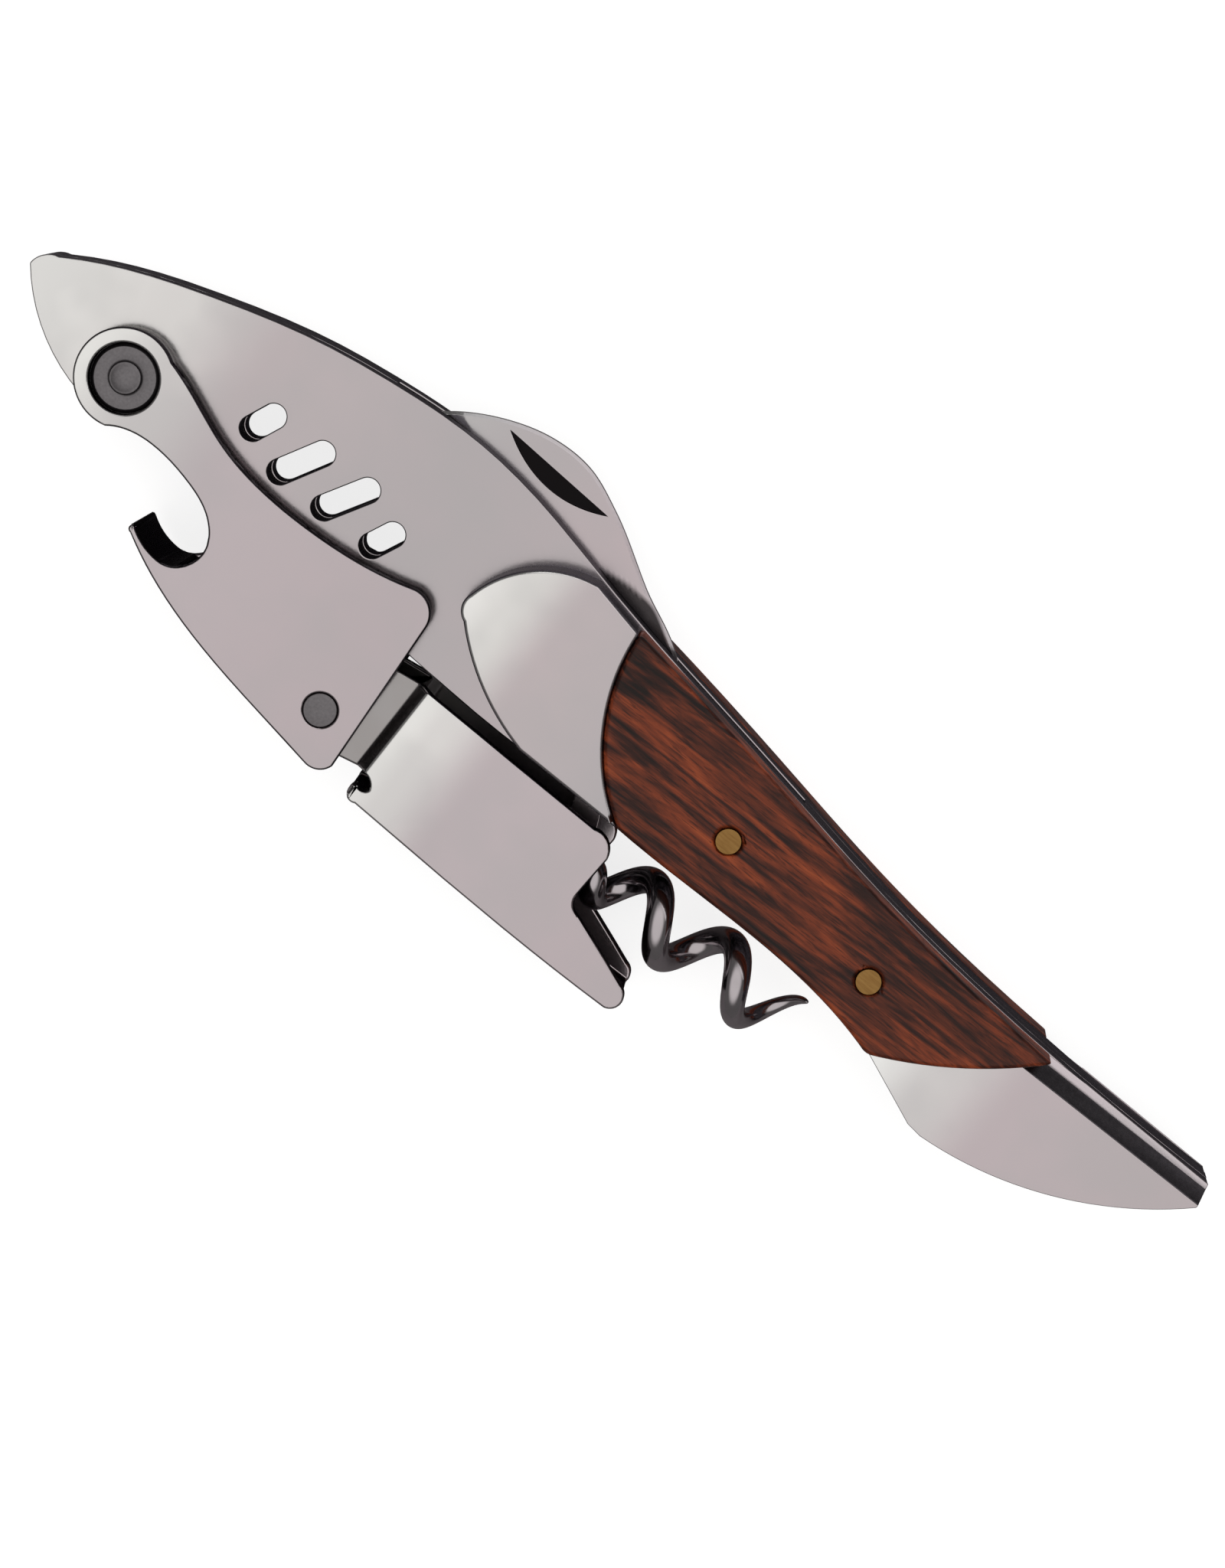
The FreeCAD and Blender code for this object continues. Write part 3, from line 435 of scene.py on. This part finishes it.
def blade(name):
    """Two facing height fields over the blade's outline, half the thickness apart. From the edge
    upwards the rows run to the nick's arc, to its chord, over a sheer wall, and on to the back:
    thin at the edge, full above the grind, scooped between arc and chord, bevelled at the back."""
    x = BLADE_BACK[0][0] + (1 - np.cos(np.linspace(0, np.pi, 420))) / 2 * BLADE_SPAN
    top = smooth_line(BLADE_BACK, x)
    low = smooth_line(BLADE_EDGE, x)
    (x0, y0), (x1, y1) = NICK_START, NICK_END
    share = np.clip((x - x0) / (x1 - x0), 0, 1)
    ends = np.array((x0, x1))
    rise = (np.array((y0, y1)) - smooth_line(BLADE_EDGE, ends)) / (
        smooth_line(BLADE_BACK, ends) - smooth_line(BLADE_EDGE, ends))
    inside = (share > 0) & (share < 1)
    chord = np.where(inside, y0 + (y1 - y0) * share,
                     low + (top - low) * np.where(share <= 0, rise[0], rise[1]))
    reach = NICK_REACH * 4 * share * (1 - share)
    arc = chord - np.maximum(reach, WALL_HALF)
    wall = chord + WALL_HALF
    up = np.linspace(0, 1, 28)[:, None]
    rows = np.concatenate([low + (arc - low) * up, arc + (chord - arc) * up[1:],
                           wall + (top - wall) * up])
    scoop = np.concatenate([up * 0, up[1:], up * 0]) ** 0.5 * np.where(inside, 1.0, 0.0)
    from_edge = rows - low
    from_back = top - rows
    wedge = EDGE_HALF + (BLADE_HALF - EDGE_HALF) * np.clip(from_edge / GRIND_WIDTH, 0, 1)
    ground = np.where(x < GROUND_TO, wedge, BLADE_HALF)
    swage = SWAGE_DROP * np.clip(1 - from_back / SWAGE_WIDTH, 0, 1) * (x < GROUND_TO)
    half = ground - swage - NICK_DEPTH * scoop * np.clip(reach, 0, 1)
    flat = np.stack([np.broadcast_to(x, rows.shape), rows], axis=-1)
    shape = np.concatenate([np.concatenate([flat, half[..., None]], axis=-1),
                            np.concatenate([flat, -half[..., None]], axis=-1)[::-1]])
    # The painted_shade share: full in the nail nick, a real scoop painted near black as painted
    # shade, and up to 0.9 on the flat base below the arc, painted shade with straight ends.
    in_span = (x > BASE_SHADE_ARC[0][0]) & (x < BASE_SHADE_ARC[-1][0] + BASE_SHADE_PAST)
    under = np.clip((smooth_line(BASE_SHADE_ARC, x) - rows) / BASE_SHADE_SOFT + 0.5, 0, 1) * in_span
    painted_shade = np.maximum((scoop > 0.05) * 1.0, under * 0.9)
    values = np.concatenate([painted_shade, painted_shade[::-1]])
    return surface(name, origin + shape.transpose(1, 0, 2) * MM, values.T)


blade_steel = satin_steel("ground_stainless_blade", (
    (-33.0, "#B4B3B3"), (-22.0, "#AEA8AA"), (-10.0, "#B4A9AC"), (5.0, "#B0A8AA")), painted_shade=True)
dress(blade("foil_knife"), "knife", "blade_steel", (blade_steel,), "knife_blade")


# ------------------------------------------------------------ worm and its carrier
# A right-hand helix of round steel wire, ground to a point, polished and plated with dark
# nickel. Its straight root is brazed in the collar of a flat carrier that folds on a hidden pin.
WORM_START = 3.9
WORM_PITCH = 9.2
WORM_TURNS = 2.8
WORM_RADIUS = 2.65
WIRE_RADIUS = 1.3
POINT_RADIUS = 0.05
TAPER_LENGTH = 7.0
STRAIGHT_END = 5.8
RUN_IN = 2.3
FRONT_CROSSING = 13.9
WORM_AXIS = -12.45


def worm_wire(name):
    """A circle of the wire's radius carried along a helix: the coil's radius grows smoothly from
    nothing over the run-in, and the wire's radius shrinks to a point over the taper."""
    x = np.linspace(WORM_START, WORM_START + WORM_PITCH * WORM_TURNS, 420)
    angle = np.pi / 2 + 2 * np.pi * (x - FRONT_CROSSING) / WORM_PITCH
    share = np.clip((x - STRAIGHT_END) / RUN_IN, 0, 1)
    coil = WORM_RADIUS * share * share * (3 - 2 * share)
    out = np.stack([np.zeros_like(x), np.cos(angle), np.sin(angle)], axis=-1)
    line = np.stack([x, np.full_like(x, WORM_AXIS), np.zeros_like(x)], axis=-1) + out * coil[:, None]
    along = np.gradient(line, axis=0)
    along /= np.linalg.norm(along, axis=1)[:, None]
    side = np.cross(along, out)
    side /= np.linalg.norm(side, axis=1)[:, None]
    out = np.cross(side, along)
    left = np.clip((x[-1] - x) / TAPER_LENGTH, 0, 1)
    wire = POINT_RADIUS + (WIRE_RADIUS - POINT_RADIUS) * left ** 0.5
    turn = np.linspace(0, 2 * np.pi, 40, endpoint=False)[None, :, None]
    rows = line[:, None] + (out[:, None] * np.cos(turn) + side[:, None] * np.sin(turn)) * wire[
        :, None, None]
    return surface(name, origin + rows * MM)


nickel, tree, shader = new_material("dark_polished_nickel", Metallic=1.0)
smear = grain(tree, 2.5)
nickel_tone = add(tree, "ShaderNodeMix", {"Factor": smear.outputs[0], 6: linear("#A29C9F"),
                                          7: linear("#B6B0B3")}, data_type="RGBA")
nickel_rough = add(tree, "ShaderNodeMapRange", {"Value": smear.outputs[0], "To Min": 0.12,
                                                "To Max": 0.2})
tree.links.new(nickel_tone.outputs[2], shader.inputs["Base Color"])
tree.links.new(nickel_rough.outputs[0], shader.inputs["Roughness"])
dress(worm_wire("worm_wire"), "worm_arm", "worm_nickel", (nickel,), "worm")
dress(softened("worm_carrier", 0.12), "worm_arm", "satin_steel", (handle_steel, edge_steel),
      "worm_carrier")


# ------------------------------------------------------------ hidden pins and washers
# Plain drawn-steel pins and thin washers inside the handle, left as the frame has them.
plain, tree, shader = new_material("drawn_steel", Metallic=1.0)
draw_marks = grain(tree, 0.4, 2.0, (1.0, 1.0, 6.0))
plain_tone = add(tree, "ShaderNodeMix", {"Factor": draw_marks.outputs[0], 6: linear("#8E8B8D"),
                                         7: linear("#A8A5A7")}, data_type="RGBA")
tree.links.new(plain_tone.outputs[2], shader.inputs["Base Color"])
blasted(tree, shader, 0.3, 0.45)
for node in ("bolster_pins", "tail_pins", "worm_pivot_pin", "worm_washers", "knife_washers"):
    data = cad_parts[node].data
    data.materials.clear()
    data.materials.append(plain)


# ------------------------------------------------------------ light table and camera
# The tool lies on a pale sheet that glows a little and is dimmer in reflections. A bright
# ceiling hangs over it, the walls are dark low down, and one long soft box lies beyond the spine.
FLOOR_HALF = 1.5
FLOOR_GAP = 0.02 * MM
floor_mesh = bpy.data.meshes.new("light_table")
floor_mesh.from_pydata([(x * FLOOR_HALF, y * FLOOR_HALF, cad_low.z - FLOOR_GAP)
                        for x, y in ((-1, -1), (1, -1), (1, 1), (-1, 1))], [], [(0, 1, 2, 3)])
floor = bpy.data.objects.new("light_table", floor_mesh)
bpy.context.scene.collection.objects.link(floor)
sheet, tree, shader = new_material("glowing_white_sheet", Base_Color=linear("#B0B0B0"),
                                   Roughness=0.9, Emission_Color=linear("#FFFFFF"),
                                   Emission_Strength=0.8)
path = add(tree, "ShaderNodeLightPath")
dim = add(tree, "ShaderNodeBsdfDiffuse", {"Color": linear("#8A8688")})
mix = add(tree, "ShaderNodeMixShader", {0: path.outputs["Is Glossy Ray"], 1: shader.outputs[0],
                                        2: dim.outputs[0]})
tree.links.new(mix.outputs[0], tree.nodes["Material Output"].inputs["Surface"])
floor_mesh.materials.append(sheet)

world = bpy.data.worlds.new("studio")
bpy.context.scene.world = world
world.use_nodes = True
tree = world.node_tree
direction = add(tree, "ShaderNodeTexCoord")
height = add(tree, "ShaderNodeSeparateXYZ", {"Vector": direction.outputs["Generated"]})
ceiling = add(tree, "ShaderNodeMapRange", {"Value": height.outputs["Z"], "From Min": 0.55,
                                           "From Max": 0.86, "To Min": 0.16, "To Max": 1.07},
              interpolation_type="SMOOTHSTEP")
background = tree.nodes["Background"]
background.inputs["Color"].default_value = linear("#FFFDFB")
tree.links.new(ceiling.outputs[0], background.inputs["Strength"])


def soft_box(name, spot, watts, width, depth):
    """A rectangular lamp, placed in millimetres, that faces the middle of the tool."""
    data = bpy.data.lights.new(name, "AREA")
    data.shape = "RECTANGLE"
    data.size = width
    data.size_y = depth
    data.energy = watts
    lamp = bpy.data.objects.new(name, data)
    bpy.context.scene.collection.objects.link(lamp)
    lamp.location = Vector(place(*spot))
    facing = Vector(place(0.0, 0.0)) - lamp.location
    lamp.rotation_euler = facing.to_track_quat("-Z", "Y").to_euler()


soft_box("spine_box", (0.0, 600.0, 430.0), 1.3, 1.4, 0.27)

camera_data = bpy.data.cameras.new("camera")
camera_data.lens = 89.68
camera_data.sensor_width = 36.0
camera_data.clip_start = 0.01
camera = bpy.data.objects.new("camera", camera_data)
bpy.context.scene.collection.objects.link(camera)
stand = Vector(place(-17.87, 60.05, 358.0))
back = (stand - Vector(place(2.39, -4.89))).normalized()
right = Vector((0.7846, 0.6163, -0.0674)).normalized()
up = back.cross(right)
camera.matrix_world = Matrix((
    (right.x, up.x, back.x, stand.x), (right.y, up.y, back.y, stand.y),
    (right.z, up.z, back.z, stand.z), (0, 0, 0, 1)))
bpy.context.scene.camera = camera
bpy.context.scene.view_settings.view_transform = "Standard"
